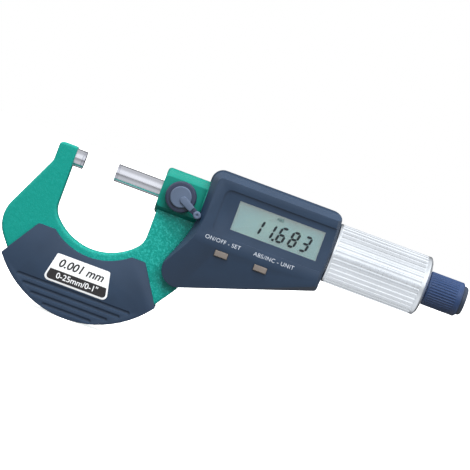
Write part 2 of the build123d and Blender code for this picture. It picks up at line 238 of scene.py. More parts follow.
@dataclass(frozen=True)
class Enamel(Finish):
    """Thick glossy enamel, smooth where smooth is 1 and hammered where it is 0."""

    smooth: float = 0.0
    crackle: tuple[float, float, float, float] = (0.03, 0.46, 0.4, 1.0)

    def dress(self, sheet: NodeSheet) -> None:
        """Light veins over a darker ground, with small dents."""
        sheet.shader.inputs["Specular IOR Level"].default_value = 0.3
        sheet.shader.inputs["Coat Weight"].default_value = 0.12
        sheet.shader.inputs["Coat Roughness"].default_value = 0.18
        veins = sheet.noise(1300, 3.0, distortion=1.2)
        if self.smooth < 1:
            split = sheet.tree.nodes.new("ShaderNodeSeparateXYZ")
            sheet.link(sheet.place, split.inputs["Vector"])
            along = sheet.spread(split.outputs["X"], 0.0, 0.03, 0.18, 1.0)
            shown = sheet.tree.nodes.new("ShaderNodeMath")
            shown.operation = "MULTIPLY"
            sheet.link(sheet.spread(veins, 0.48, 0.68, 0.0, 1.0), shown.inputs[0])
            sheet.link(along, shown.inputs[1])
            sheet.link(sheet.mixed(shown.outputs["Value"], self.colour, self.crackle),
                       sheet.shader.inputs["Base Color"])
            sheet.bump(veins, 0.00012, 0.55)
        else:
            sheet.link(sheet.mixed(sheet.spread(sheet.noise(160), 0.4, 0.7, 0.0, 1.0), self.colour,
                                   self.tinted(1.15)), sheet.shader.inputs["Base Color"])
            sheet.bump(sheet.noise(300, 2.0), 0.00003, 0.4)
        sheet.link(sheet.spread(veins, 0.3, 0.7, self.roughness * 0.8, self.roughness * 1.2),
                   sheet.shader.inputs["Roughness"])


@dataclass(frozen=True)
class Moulded(Finish):
    """Moulded plastic with a fine grain and faint cloudiness."""

    grain: float = 5200.0
    depth: float = 0.00002

    def dress(self, sheet: NodeSheet) -> None:
        """A spark-eroded grain, and clouds of a slightly lighter tone."""
        clouds = sheet.spread(sheet.noise(110, 2.0), 0.35, 0.7, 0.0, 1.0)
        sheet.link(sheet.mixed(clouds, self.tinted(0.94), self.tinted(1.08)),
                   sheet.shader.inputs["Base Color"])
        grain = sheet.noise(self.grain, 2.0)
        sheet.link(sheet.spread(grain, 0.3, 0.7, self.roughness * 0.9, self.roughness * 1.12),
                   sheet.shader.inputs["Roughness"])
        sheet.bump(grain, self.depth, 0.5)


@dataclass(frozen=True)
class Metal(Finish):
    """Bare metal with fine tool marks round the measuring axis."""

    marks: tuple[float, float, float] = (6000.0, 90.0, 90.0)

    def dress(self, sheet: NodeSheet) -> None:
        """Turning marks in gloss and relief."""
        sheet.shader.inputs["Metallic"].default_value = 1.0
        lines = sheet.noise(1.0, 2.0, sheet.stretched(self.marks))
        sheet.link(sheet.spread(lines, 0.3, 0.7, self.roughness * 0.75, self.roughness * 1.3),
                   sheet.shader.inputs["Roughness"])
        clouds = sheet.spread(sheet.noise(70), 0.4, 0.65, 0.0, 1.0)
        sheet.link(sheet.mixed(clouds, self.tinted(0.95), self.colour), sheet.shader.inputs["Base Color"])
        sheet.bump(lines, 0.000004, 0.35)


@dataclass(frozen=True)
class Lens(Finish):
    """A thin clear window."""

    def dress(self, sheet: NodeSheet) -> None:
        """Nearly all light passes; the surface keeps its reflection."""
        sheet.shader.inputs["Alpha"].default_value = 0.02
        sheet.link(sheet.spread(sheet.noise(400), 0.3, 0.7, 0.04, 0.09), sheet.shader.inputs["Roughness"])


@dataclass(frozen=True)
class Crystal(Finish):
    """The display's reflective layer, faintly uneven in tone."""

    def dress(self, sheet: NodeSheet) -> None:
        """Slow clouds between a greyer and a greener tone."""
        tone = sheet.spread(sheet.noise(130, 2.0), 0.38, 0.66, 0.0, 1.0)
        sheet.link(sheet.mixed(tone, self.colour, linear(118, 178, 172)), sheet.shader.inputs["Base Color"])
        sheet.link(sheet.spread(sheet.noise(2500), 0.3, 0.7, 0.35, 0.5), sheet.shader.inputs["Roughness"])


HAMMERED = Enamel("enamel_hammered", "frame_paint", linear(0, 140, 127), 0.42)
SMOOTH = Enamel("enamel_smooth", "frame_paint", linear(0, 122, 108), 0.42, smooth=1.0)
SLATE = Moulded("plastic_slate", "slate_plastic", linear(36, 54, 76), 0.42)
PLUM = Moulded("plastic_plum", "lever_grey", linear(44, 52, 74), 0.4)
# painted highlight: a lighter copy of the lock's plum plastic for its raised front faces, as if lit
PLUM_PAINTED_LIT = Moulded("plastic_plum_painted_lit", "lever_grey", linear(84, 98, 120), 0.42)
TAN = Moulded("plastic_tan", "button_tan", linear(120, 112, 106), 0.5, grain=2500.0)
NAVY = Moulded("plastic_navy", "navy_plastic", linear(38, 60, 98), 0.38, grain=3000.0)
BLACK = Moulded("plastic_black", "black_plastic", linear(44, 54, 70), 0.4)
STEEL = Metal("steel_ground", "ground_steel", linear(214, 214, 220), 0.22)
CARBIDE = Metal("carbide_lapped", "carbide", linear(200, 200, 208), 0.16)
DARK_STEEL = Metal("steel_dark", "dark_steel", linear(110, 112, 118), 0.35)
SATIN = Metal("aluminium_satin", "satin_aluminium", linear(246, 249, 253), 0.34, marks=(2500.0, 60.0, 60.0))
BRONZE = Metal("bronze_plain", "bronze", linear(190, 150, 100), 0.35)
BRASS = Metal("brass_spring", "contact_brass", linear(214, 182, 110), 0.3)
PLATED = Metal("cell_plated", "cell_steel", linear(215, 215, 215), 0.2)
RUBBER = Moulded("rubber_black", "seal_rubber", linear(26, 26, 28), 0.7, grain=1800.0)
LAMINATE = Moulded("board_laminate", "board", linear(22, 92, 54), 0.35, grain=900.0)
LABEL = Finish("ink_white", "label_white", linear(246, 248, 250), 0.35)
INK_BLACK = Finish("ink_black", "label_white", linear(34, 32, 34), 0.4)
INK_PALE = Finish("ink_pale", "label_white", linear(205, 212, 222), 0.45)
LCD = Crystal("display_crystal", "lcd_glass", linear(96, 168, 172), 0.42)
SEGMENT = Finish("display_segment", "lcd_glass", linear(4, 22, 28), 0.5)
SEGMENT_PALE = Finish("display_mark", "lcd_glass", linear(52, 82, 84), 0.45)
CLEAR = Lens("window_clear", "window_clear", linear(225, 235, 238), 0.06)

SLOT_FINISHES = {finish.slot: finish for finish in (
    HAMMERED, SLATE, PLUM, TAN, NAVY, BLACK, STEEL, CARBIDE, DARK_STEEL, SATIN, BRONZE, BRASS, PLATED, RUBBER,
    LAMINATE, LABEL, LCD, CLEAR)}


# --------------------------------------------------------------------------------------------
# Shaping
# --------------------------------------------------------------------------------------------


class Shape:
    """A mesh in the making, in millimetres in the micrometer's own frame."""

    ARC_STEP = math.radians(5)

    def __init__(self) -> None:
        """Starts empty."""
        self.bm = bmesh.new()

    def path(self, corners: Iterable[Sequence[float]], y: float = 0.0, closed: bool = True) -> list:
        """Draws an outline in XZ, with each corner rounded by a true arc.

        Args:
            corners: (x, z) or (x, z, radius) in order.
            y: where the outline lies.
            closed: whether the last corner joins the first.
        Returns:
            The outline's edges.
        """
        marks = [Corner(*corner) for corner in corners]
        count = len(marks)
        edges, ends = [], []
        for i, mark in enumerate(marks):
            here = Vector((mark.x, mark.z))
            if mark.r <= 0 or (not closed and i in (0, count - 1)):
                vert = self.bm.verts.new((mark.x, y, mark.z))
                ends.append((vert, vert))
                continue
            before, after = marks[i - 1], marks[(i + 1) % count]
            arrive = (here - Vector((before.x, before.z))).normalized()
            leave = (Vector((after.x, after.z)) - here).normalized()
            turn = math.atan2(arrive.x * leave.y - arrive.y * leave.x, arrive.dot(leave))
            start = here - arrive * mark.r * math.tan(abs(turn) / 2)
            side = math.copysign(1, turn)
            centre = start + Vector((-arrive.y, arrive.x)) * side * mark.r
            first = self.bm.verts.new((start.x, y, start.y))
            known = set(self.bm.edges)
            spun = bmesh.ops.spin(
                self.bm, geom=[first], cent=(centre.x, y, centre.y), axis=(0, -1, 0), angle=turn,
                steps=max(3, round(abs(turn) / self.ARC_STEP)), use_merge=False)
            last = next(item for item in spun["geom_last"] if isinstance(item, bmesh.types.BMVert))
            edges += [edge for edge in self.bm.edges if edge not in known]
            ends.append((first, last))
        for i in range(count if closed else count - 1):
            a, b = ends[i][1], ends[(i + 1) % count][0]
            edges.append(self.bm.edges.new((a, b)))
        return edges

    def prism(self, corners: Iterable[Sequence[float]], y0: float, y1: float) -> list:
        """A plate with an outline in XZ.

        Args:
            corners: the outline.
            y0, y1: where the plate starts and ends. The face at y1 is the one that is returned.
        Returns:
            The edges round the face at y1.
        """
        edges = self.path(corners, y0)
        face = bmesh.ops.contextual_create(self.bm, geom=edges)["faces"]
        grown = bmesh.ops.extrude_face_region(self.bm, geom=face)["geom"]
        verts = [item for item in grown if isinstance(item, bmesh.types.BMVert)]
        bmesh.ops.translate(self.bm, verts=verts, vec=(0, y1 - y0, 0))
        top = next(item for item in grown if isinstance(item, bmesh.types.BMFace))
        rim = list(top.edges)
        self.outward()
        return rim

    def lathe(self, profile: Iterable[Sequence[float]], steps: int = 96, closed: bool = True) -> None:
        """Turns a profile of (x, radius) round the measuring axis.

        Args:
            profile: the corners of the profile, with rounding radii.
            steps: facets round the axis.
            closed: whether the profile closes on itself. An open one starts and ends on the axis.
        """
        edges = self.path(profile, closed=closed)
        verts = list({vert for edge in edges for vert in edge.verts})
        bmesh.ops.spin(self.bm, geom=verts + edges, cent=(0, 0, 0), axis=(1, 0, 0), angle=math.tau,
                       steps=steps, use_merge=True)
        bmesh.ops.remove_doubles(self.bm, verts=self.bm.verts, dist=1e-4)
        self.outward()

    def capsule(self, radius: float, x0: float, x1: float, y: float, z: float) -> None:
        """A round-ended rod along X."""
        rounding = radius * 0.99
        self.lathe([(x0 - radius, 0), (x0 - radius, radius, rounding), (x1 + radius, radius, rounding),
                    (x1 + radius, 0)], 24, closed=False)
        self.move(Matrix.Translation((0, y, z)))

    def soften(self, edges: Iterable, width: float, segments: int = 3) -> None:
        """Rounds edges.

        Args:
            edges: the edges.
            width: how far the rounding reaches along each face.
            segments: facets in the rounding.
        """
        bmesh.ops.bevel(self.bm, geom=list(edges), offset=width, offset_type="OFFSET", affect="EDGES",
                        segments=segments, profile=0.5, material=-1, clamp_overlap=True)

    def sharp_edges(self, degrees: float = 30) -> list:
        """The edges where two faces meet at more than an angle."""
        limit = math.radians(degrees)
        return [edge for edge in self.bm.edges
                if len(edge.link_faces) == 2 and edge.calc_face_angle(0) > limit]

    def cut(self, point: Sequence[float], normal: Sequence[float]) -> list:
        """Cuts everything on the normal's side away and closes the cut.

        Args:
            point: a point of the cutting plane.
            normal: its normal, towards the side that goes.
        Returns:
            The edges of the cut.
        """
        geom = [*self.bm.verts, *self.bm.edges, *self.bm.faces]
        made = bmesh.ops.bisect_plane(self.bm, geom=geom, dist=1e-4, plane_co=point, plane_no=normal,
                                      clear_outer=True)["geom_cut"]
        edges = [item for item in made if isinstance(item, bmesh.types.BMEdge)]
        bmesh.ops.edgeloop_fill(self.bm, edges=edges)
        self.outward()
        return edges

    def move(self, matrix: Matrix) -> None:
        """Moves everything drawn so far."""
        bmesh.ops.transform(self.bm, matrix=matrix, verts=self.bm.verts)

    def outward(self) -> None:
        """Turns all faces outwards."""
        bmesh.ops.recalc_face_normals(self.bm, faces=self.bm.faces)

    def piece(self, name: str, finish: Finish, body: Body, replaces: Sequence[str] = (),
              smooth: float = 35) -> bpy.types.Object:
        """Makes the mesh a piece of the micrometer.

        Args:
            name: the piece's name.
            finish: its finish.
            body: the body that it rides on.
            replaces: the CAD nodes that it stands for.
            smooth: the angle in degrees up to which it is shaded as one surface.
        Returns:
            The piece.
        """
        bmesh.ops.scale(self.bm, vec=(MM, MM, MM), verts=self.bm.verts)
        mesh = bpy.data.meshes.new(name)
        self.bm.to_mesh(mesh)
        self.bm.free()
        return declare(name, mesh, finish, body, replaces, smooth)


def declare(name: str, mesh: bpy.types.Mesh, finish: Finish, body: Body, replaces: Sequence[str] = (),
            smooth: float = 35) -> bpy.types.Object:
    """Puts a finished mesh in the scene as a piece.

    Args:
        name: the piece's name.
        mesh: its mesh, in metres.
        finish: its finish.
        body: the body that it rides on.
        replaces: the CAD nodes that it stands for.
        smooth: the angle in degrees up to which it is shaded as one surface.
    Returns:
        The piece.
    """
    made = bpy.data.objects.new(name, mesh)
    bpy.context.scene.collection.objects.link(made)
    mesh.materials.clear()
    mesh.materials.append(finish.material())
    mesh.shade_smooth()
    mesh.set_sharp_from_angle(angle=math.radians(smooth))
    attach(made, body.value)
    if replaces:
        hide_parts(*replaces)
    LOG.info("%s: %d faces on %s", name, len(mesh.polygons), body.value)
    return made


def baked(mesh: bpy.types.Mesh, fit: Callable[[bpy.types.Object], None]) -> bpy.types.Mesh:
    """Runs modifiers on a mesh and keeps the result.

    Args:
        mesh: the mesh.
        fit: adds the modifiers to an object that holds the mesh.
    Returns:
        The new mesh.
    """
    holder = bpy.data.objects.new("holder", mesh)
    bpy.context.scene.collection.objects.link(holder)
    fit(holder)
    graph = bpy.context.evaluated_depsgraph_get()
    result = bpy.data.meshes.new_from_object(holder.evaluated_get(graph))
    bpy.data.objects.remove(holder)
    return result


def carved(mesh: bpy.types.Mesh, tool: Shape) -> bpy.types.Mesh:
    """Cuts a shape out of a mesh.

    Args:
        mesh: the mesh, in metres.
        tool: the shape to cut out, in millimetres.
    Returns:
        The cut mesh.
    """
    bmesh.ops.scale(tool.bm, vec=(MM, MM, MM), verts=tool.bm.verts)
    blade = bpy.data.meshes.new("blade")
    tool.bm.to_mesh(blade)
    cutter = bpy.data.objects.new("cutter", blade)
    bpy.context.scene.collection.objects.link(cutter)

    def fit(holder: bpy.types.Object) -> None:
        """Adds the cut."""
        cut = holder.modifiers.new("cut", "BOOLEAN")
        cut.object = cutter
        cut.operation = "DIFFERENCE"
        cut.solver = "EXACT"

    result = baked(mesh, fit)
    bpy.data.objects.remove(cutter)
    return result


def eased(mesh: bpy.types.Mesh, width: float, degrees: float = 25, segments: int = 3) -> bpy.types.Mesh:
    """Rounds a mesh's sharp edges a little.

    Args:
        mesh: the mesh, in metres.
        width: the rounding in millimetres.
        degrees: the least angle that counts as sharp.
        segments: facets in the rounding.
    Returns:
        The new mesh.
    """
    def fit(holder: bpy.types.Object) -> None:
        """Adds the rounding."""
        bevel = holder.modifiers.new("ease", "BEVEL")
        bevel.width = width * MM
        bevel.segments = segments
        bevel.limit_method = "ANGLE"
        bevel.angle_limit = math.radians(degrees)
        bevel.use_clamp_overlap = True

    return baked(mesh, fit)


def merged_node(node: str) -> bpy.types.Mesh:
    """A clean copy of a CAD node's mesh, with its flat faces whole again.

    Args:
        node: the node's name.
    Returns:
        The copy.
    """
    bm = bmesh.new()
    bm.from_mesh(frame["nodes"][node].data)
    bmesh.ops.remove_doubles(bm, verts=bm.verts, dist=2e-6)
    bmesh.ops.dissolve_limit(bm, angle_limit=math.radians(0.4), verts=bm.verts, edges=bm.edges,
                             use_dissolve_boundaries=False)
    bmesh.ops.recalc_face_normals(bm, faces=bm.faces)
    mesh = bpy.data.meshes.new(node + "_copy")
    bm.to_mesh(mesh)
    bm.free()
    return mesh


def lettering(name: str, words: str, size: float, place: Matrix, finish: Finish, body: Body,
              bold: float = 0.0, shear: float = 0.0, spacing: float = 1.0) -> bpy.types.Object:
    """Thin raised lettering.

    Args:
        name: the piece's name.
        words: what it says.
        size: the height of the type in millimetres.
        place: turns and moves it from the XY plane, in millimetres.
        finish: its ink.
        body: the body that it rides on.
        bold: how much the strokes are thickened, in parts of the size.
        shear: the slant of the letters.
        spacing: the letter spacing.
    Returns:
        The piece.
    """
    font = bpy.data.curves.new(name, "FONT")
    font.body = words
    font.size = size
    font.align_x = "CENTER"
    font.align_y = "CENTER"
    font.extrude = 0.012
    font.offset = bold * size
    font.shear = shear
    font.space_character = spacing
    holder = bpy.data.objects.new(name + "_type", font)
    bpy.context.scene.collection.objects.link(holder)
    graph = bpy.context.evaluated_depsgraph_get()
    mesh = bpy.data.meshes.new_from_object(holder.evaluated_get(graph))
    bpy.data.objects.remove(holder)
    mesh.transform(Matrix.Scale(MM, 4) @ place)
    return declare(name, mesh, finish, body)


def facing_front(x: float, y: float, z: float) -> Matrix:
    """Stands type up in XZ, to be read from -Y, with its middle at a point."""
    return Matrix.Translation((x, y, z)) @ Matrix.Rotation(math.radians(90), 4, "X")


ALONG_Y = Matrix.Rotation(math.radians(-90), 4, "Z")


# --------------------------------------------------------------------------------------------
# Sub-assemblies
# --------------------------------------------------------------------------------------------


@dataclass
class Bow:
    """The hammered bow of the frame and the smooth boss on it."""

    half: float = 4.75
    rounding: float = 1.0
    grain: float = 0.4
    dent: float = 0.055
    boss_radius: float = 8.4
    boss_span: tuple[float, float] = (28.5, 58.0)
    flat_y: float = -6.3
    flat_end: float = 43.8
    outline: tuple = (
        (-10.25, 3.75, 1.3), (-10.25, -3.4, 4), (-22.15, -28.6, 11.8), (15.3, -76.0, 32.7), (45.7, -30.95, 2),
        (49, -24, 3), (49, -6), (29.5, -6), (29.5, -20.03, 7.4), (21.4, -28.45, 20.3), (4.51, -28.45, 20.3),
        (-3.6, -20.03, 7.4), (-3.6, 3.75, 0.8))

    def build(self) -> None:
        """Makes the bow and the boss."""
        self.bow()
        self.boss()

    def bow(self) -> None:
        """The bow: a thick plate with rounded edges, remeshed finely and dented all over."""
        shape = Shape()
        shape.prism(self.outline, -self.half, self.half)
        shape.soften(shape.sharp_edges(60), self.rounding, 4)
        bmesh.ops.scale(shape.bm, vec=(MM, MM, MM), verts=shape.bm.verts)
        mesh = bpy.data.meshes.new("bow_blank")
        shape.bm.to_mesh(mesh)

        def fit(holder: bpy.types.Object) -> None:
            """Adds the remesh."""
            remesh = holder.modifiers.new("fine", "REMESH")
            remesh.mode = "VOXEL"
            remesh.voxel_size = self.grain * MM

        fine = bmesh.new()
        fine.from_mesh(baked(mesh, fit))
        for _ in range(3):
            bmesh.ops.smooth_vert(fine, verts=fine.verts, factor=0.5, use_axis_x=True, use_axis_y=True,
                                  use_axis_z=True)
        fine.normal_update()
        for vert in fine.verts:
            spot = vert.co / MM
            depth = self.dent * (0.35 + 0.65 * min(1, max(0, spot.x / 30)))
            level = noise.fractal(spot * 0.75, 0.6, 2.0, 3)
            vert.co -= vert.normal * MM * depth * min(1.0, max(0.0, 0.5 + level))
        mesh = bpy.data.meshes.new("frame_bow")
        fine.to_mesh(mesh)
        declare("frame_bow", mesh, HAMMERED, Body.FRAME, ("frame",), 80)

    def boss(self) -> None:
        """The boss, with the flat milled for the lock."""
        x0, x1 = self.boss_span
        radius = self.boss_radius
        shape = Shape()
        shape.lathe([(x0, 4.8, 0.3), (x0, radius, 1.3), (self.flat_end, radius), (self.flat_end, 4.8)], 128)
        rim = shape.cut((0, self.flat_y, 0), (0, -1, 0))
        shape.soften(rim, 0.35, 3)
        shape.piece("frame_boss", SMOOTH, Body.FRAME)
        core = Shape()
        core.lathe([(self.flat_end, 6.0), (self.flat_end, radius), (x1, radius), (x1, 6.0)], 96)
        core.piece("frame_boss_core", SMOOTH, Body.FRAME)


@dataclass
class MeasuringLine:
    """The anvil and the spindle, ground bright, with lapped hard tips."""

    radius: float = 3.175
    reading: float = 11.683
    tip: float = 1.0
    ease: float = 0.12

    def build(self) -> None:
        """Makes the three ground cylinders and eases the spindle with its tail."""
        self.rod("anvil_body", -7.5, -self.tip, STEEL, Body.FRAME, "anvil")
        self.rod("anvil_face", -self.tip, 0, CARBIDE, Body.FRAME, "anvil_tip")
        declare("spindle_rod", eased(merged_node("spindle"), self.ease), STEEL, Body.SPINDLE,
                ("spindle",), 40)
        self.rod("spindle_face", self.reading, self.reading + self.tip, CARBIDE, Body.SPINDLE, "spindle_tip")

    def rod(self, name: str, x0: float, x1: float, finish: Finish, body: Body, *replaces: str) -> None:
        """One ground cylinder with broken edges.

        Args:
            name: the piece's name.
            x0, x1: its ends.
            finish: its finish.
            body: the body that it rides on.
            replaces: the CAD nodes that it stands for.
        """
        shape = Shape()
        shape.lathe([(x0, 0), (x0, self.radius, self.ease), (x1, self.radius, self.ease), (x1, 0)], 96,
                    closed=False)
        shape.piece(name, finish, body, replaces)


@dataclass
class InsulatingPlate:
    """One of the two plastic plates on the bow."""

    side: int
    inner: float = 4.75
    thickness: float = 2.6
    bevel: float = 1.05
    centre_x: float = 12.4
    radius: float = 35.6
    centre_z: float = -18.5
    groove_z: tuple[float, ...] = (-44.5, -46.95, -49.4, -51.85)
    groove_r: float = 0.75
    groove_lift: float = 0.22
    outline: tuple = (
        (-7.3, -25.8, 1.0), (-16.15, -39.7, 0.4), (12.4, -77.7, 35.45), (40.95, -39.6, 0.4),
        (32.3, -25.8, 1.0), (27.2, -25.8, 0.6), (12.9, -37.2, 22.0), (-1.15, -25.8, 0.6))

    def build(self) -> None:
        """Makes the plate with its bevel and its grooves."""
        outer = self.side * (self.inner + self.thickness)
        shape = Shape()
        rim = shape.prism(self.outline, self.side * self.inner, outer)
        shape.soften(rim, self.bevel, 2)
        bmesh.ops.scale(shape.bm, vec=(MM, MM, MM), verts=shape.bm.verts)
        mesh = bpy.data.meshes.new("plate")
        shape.bm.to_mesh(mesh)
        for z in self.groove_z:
            half = math.sqrt(self.radius ** 2 - (z - self.centre_z) ** 2) - 4
            tool = Shape()
            tool.capsule(self.groove_r, self.centre_x - half, self.centre_x + half,
                         outer + self.side * self.groove_lift, z)
            mesh = carved(mesh, tool)
        place = "front" if self.side < 0 else "rear"
        declare(f"{place}_plate", eased(mesh, 0.12), SLATE, Body.FRAME, (f"{place}_insulating_plate",), 32)


@dataclass
class RangeLabel:
    """The foil label in the middle of the front plate: a white field over a black band."""

    front: float = -7.35
    thickness: float = 0.15
    foil: tuple = ((2.6, -33.2, 0.7), (0.35, -43.25, 1.7), (24.3, -43.25, 1.7), (22.05, -33.2, 0.7))
    band: tuple = ((1.95, -38.9), (1.15, -42.55, 1.2), (23.5, -42.55, 1.2), (22.7, -38.9))

    def build(self) -> None:
        """Makes the foil, its band and its lettering."""
        face = self.front - self.thickness
        foil = Shape()
        foil.soften(foil.prism(self.foil, self.front, face), 0.06, 2)
        foil.piece("label_foil", LABEL, Body.FRAME, ("range_label",))
        band = Shape()
        band.prism(self.band, face + 0.05, face - 0.02)
        band.piece("label_band", INK_BLACK, Body.FRAME)
        lettering("label_range", "0-25mm/0-1\"", 2.9, facing_front(12.4, face - 0.03, -40.75), LABEL,
                  Body.FRAME, 0.01)
        lettering("label_resolution", "0.001 mm", 4.1, facing_front(12.3, face - 0.01, -36.2), INK_BLACK,
                  Body.FRAME, 0.025, 0.25)


@dataclass
class SpindleLock:
    """The lock: a round knob, a raised disc on its face, and a finger grip with a round end."""

    x: float = 36.0
    radius: float = 5.5
    angle: float = -28.0
    back: float = -6.6
    ring_front: float = -9.7
    disc_radius: float = 3.8
    disc_front: float = -10.7
    grip: tuple = ((0.2, 1.45, 1.3), (0.2, -1.45, 1.3), (5.9, -1.15, 0.35), (5.9, 1.15, 0.35))
    grip_front: float = -11.2
    neck: tuple = ((4.5, 1.2, 0.1), (4.5, -1.2, 0.1), (7.8, -1.0, 0.1), (7.8, 1.0, 0.1))
    neck_front: float = -10.3
    end: float = 8.4
    end_radius: float = 1.4
    end_front: float = -12.1

    def build(self) -> None:
        """Makes the knob, the disc, the grip, its neck and its end."""
        # the disc, grip and end take the lighter plum as a painted highlight; the knob ring and neck keep the
        # plain plum
        self.button("lock_knob", 0, self.radius, self.back, self.ring_front, 0.8, PLUM,
                    ("lock_lever", "lock_screw"))
        self.button("lock_disc", 0, self.disc_radius, self.ring_front + 0.3, self.disc_front, 0.45,
                    PLUM_PAINTED_LIT)
        self.bar("lock_grip", self.grip, self.grip_front, 0.4, PLUM_PAINTED_LIT)
        self.bar("lock_neck", self.neck, self.neck_front, 0.25, PLUM)
        self.button("lock_end", self.end, self.end_radius, self.ring_front + 0.2, self.end_front, 0.5,
                    PLUM_PAINTED_LIT, dimple=0.5)

    def swing(self) -> Matrix:
        """Turns and moves the lever from the axis to its place on the knob."""
        return Matrix.Translation((self.x, 0, 0)) @ Matrix.Rotation(math.radians(-self.angle), 4, "Y")

    def button(self, name: str, along: float, radius: float, y0: float, y1: float, rounding: float,
               finish: Finish, replaces: Sequence[str] = (), dimple: float = 0.0) -> None:
        """A round part of the lock, rounded at its front.

        Args:
            name: the piece's name.
            along: how far out on the lever it stands.
            radius: its radius.
            y0, y1: its back and its front.
            rounding: the rounding of its front edge.
            finish: its finish.
            replaces: the CAD nodes that it stands for.
            dimple: the radius of the hollow in its front.
        """
        depth = y0 - y1
        front = [(depth, 0)] if not dimple else [(depth, dimple, 0.1), (depth - 0.35, dimple * 0.8, 0.1),
                                                 (depth - 0.35, 0)]
        shape = Shape()
        shape.lathe([(0, 0), (0, radius, 0.2), (depth, radius, rounding), *front], 72, closed=False)
        shape.move(self.swing() @ Matrix.Translation((along, y0, 0)) @ ALONG_Y)
        shape.piece(name, finish, Body.LOCK, replaces)

    def bar(self, name: str, outline: tuple, front: float, rounding: float, finish: Finish) -> None:
        """A straight part of the lever.

        Args:
            name: the piece's name.
            outline: its outline, along the lever and across it.
            front: its front.
            rounding: the rounding of its front edge.
            finish: its finish.
        """
        shape = Shape()
        shape.soften(shape.prism(outline, self.ring_front + 0.2, front), rounding, 3)
        shape.move(self.swing())
        shape.piece(name, finish, Body.LOCK)


@dataclass
class Housing:
    """The two shells of the display housing, with eased edges, and the marks on the front."""

    front: float = -12.5
    rounding: float = 0.7
    label_z: float = -9.5
    type_size: float = 2.0
    labels: dict = field(default_factory=lambda: {"ON/OFF - SET": 55.1, "ABS/INC - UNIT": 73.9})

    def build(self) -> None:
        """Makes the shells and the lettering."""
        for half in ("housing_front", "housing_back"):
            declare(f"{half}_shell", eased(merged_node(half), self.rounding), SLATE, Body.FRAME, (half,), 30)
        for number, (words, x) in enumerate(self.labels.items(), 1):
            place = facing_front(x, self.front - 0.01, self.label_z)
            lettering(f"button_label_{number}", words, self.type_size, place, INK_PALE, Body.FRAME, -0.004,
                      0.0, 1.08)


@dataclass
class Display:
    """The figures, slanted and of seven bars each, drawn on the front of the display's window."""

    reading: str = "11.683"
    y: float = -12.02
    thickness: float = 0.02
    first_x: float = 64.8
    pitch: float = 4.35
    middle_z: float = -0.2
    height: float = 6.0
    width: float = 3.0
    bar: float = 0.84
    gap: float = 0.1
    slant: float = 0.2

    BARS = {"0": "abcdef", "1": "bc", "2": "abged", "3": "abgcd", "4": "fgbc", "5": "afgcd", "6": "afgedc",
            "7": "abc", "8": "abcdefg", "9": "abcdfg"}

    def build(self) -> None:
        """Makes the figures, the point and the mode mark."""
        shape = Shape()
        place = 0
        for figure in self.reading:
            if figure == ".":
                x = self.first_x + (place - 0.5) * self.pitch + 0.15 - self.slant * self.height / 2
                self.spot(shape, x, self.middle_z - self.height / 2 + self.bar / 2)
                continue
            for bar in self.BARS[figure]:
                self.segment(shape, self.first_x + place * self.pitch, bar)
            place += 1
        shape.piece("display_figures", SEGMENT, Body.FRAME)
        lettering("display_mode", "ABS", 1.5, facing_front(71.2, self.y - 0.01, 4.6), SEGMENT_PALE,
                  Body.FRAME, 0.01)

    def spot(self, shape: Shape, x: float, z: float) -> None:
        """Draws the decimal point."""
        half = self.bar / 2
        shape.prism([(x - half, z + half), (x - half, z - half), (x + half, z - half), (x + half, z + half)],
                    self.y + self.thickness, self.y)

    def segment(self, shape: Shape, x: float, name: str) -> None:
        """Draws one bar of a figure: a long hexagon, slanted with the figure.

        Args:
            shape: the shape that takes it.
            x: the figure's middle.
            name: the bar, a to g from the top, clockwise, with g in the middle.
        """
        w, h, t = self.width / 2 - self.bar / 2, self.height / 2 - self.bar / 2, self.bar / 2
        ends = {"a": ((-w, h), (w, h)), "b": ((w, h), (w, 0)), "c": ((w, 0), (w, -h)),
                "d": ((-w, -h), (w, -h)), "e": ((-w, 0), (-w, -h)), "f": ((-w, h), (-w, 0)),
                "g": ((-w, 0), (w, 0))}
        a, b = (Vector(end) for end in ends[name])
        along = (b - a).normalized()
        across = Vector((-along.y, along.x))
        a, b = a + along * self.gap, b - along * self.gap
        points = [a, a + (along + across) * t, b + (across - along) * t, b, b - (along + across) * t,
                  a + (along - across) * t]
        slanted = [(x + p.x + self.slant * p.y, self.middle_z + p.y) for p in points]
        shape.prism(slanted, self.y + self.thickness, self.y)


@dataclass
class PushButton:
    """A beige push button, slightly crowned."""

    node: str
    body: Body

    def build(self) -> None:
        """Makes the button with eased edges."""
        declare(f"{self.node}_cap", eased(merged_node(self.node), 0.12), TAN, self.body, (self.node,), 40)


@dataclass
class Fluted:
    """A turned sleeve with axial flutes."""

    name: str
    node: str
    profile: tuple
    radius: float
    flutes: int
    span: tuple[float, float]
    depth: float
    land: float
    finish: Finish
    body: Body
    per_flute: int = 10
    run_out: float = 0.5

    def build(self) -> None:
        """Turns the sleeve and presses its flutes in."""
        shape = Shape()
        shape.lathe(self.profile, self.flutes * self.per_flute)
        for vert in shape.bm.verts:
            radius = math.hypot(vert.co.y, vert.co.z)
            if abs(radius - self.radius) < 1e-3:
                scale = 1 - self.groove(vert.co.x, math.atan2(vert.co.z, vert.co.y)) / radius
                vert.co.y *= scale
                vert.co.z *= scale
        shape.outward()
        shape.piece(self.name, self.finish, self.body, (self.node,), 50)

    def groove(self, x: float, angle: float) -> float:
        """How deep the surface lies below the lands.

        Args:
            x: the place along the axis.
            angle: the angle round it.
        Returns:
            The depth in millimetres.
        """
        inside = min(x - self.span[0], self.span[1] - x)
        fade = min(1.0, max(0.0, inside / self.run_out))
        turn = (angle / math.tau * self.flutes) % 1.0
        off = abs(turn - 0.5) * 2
        rise = min(1.0, max(0.0, (1 - off - (self.land - 0.5)) / (1 - self.land)))
        return self.depth * math.sqrt(fade) * math.sin(rise * math.pi / 2) ** 1.5


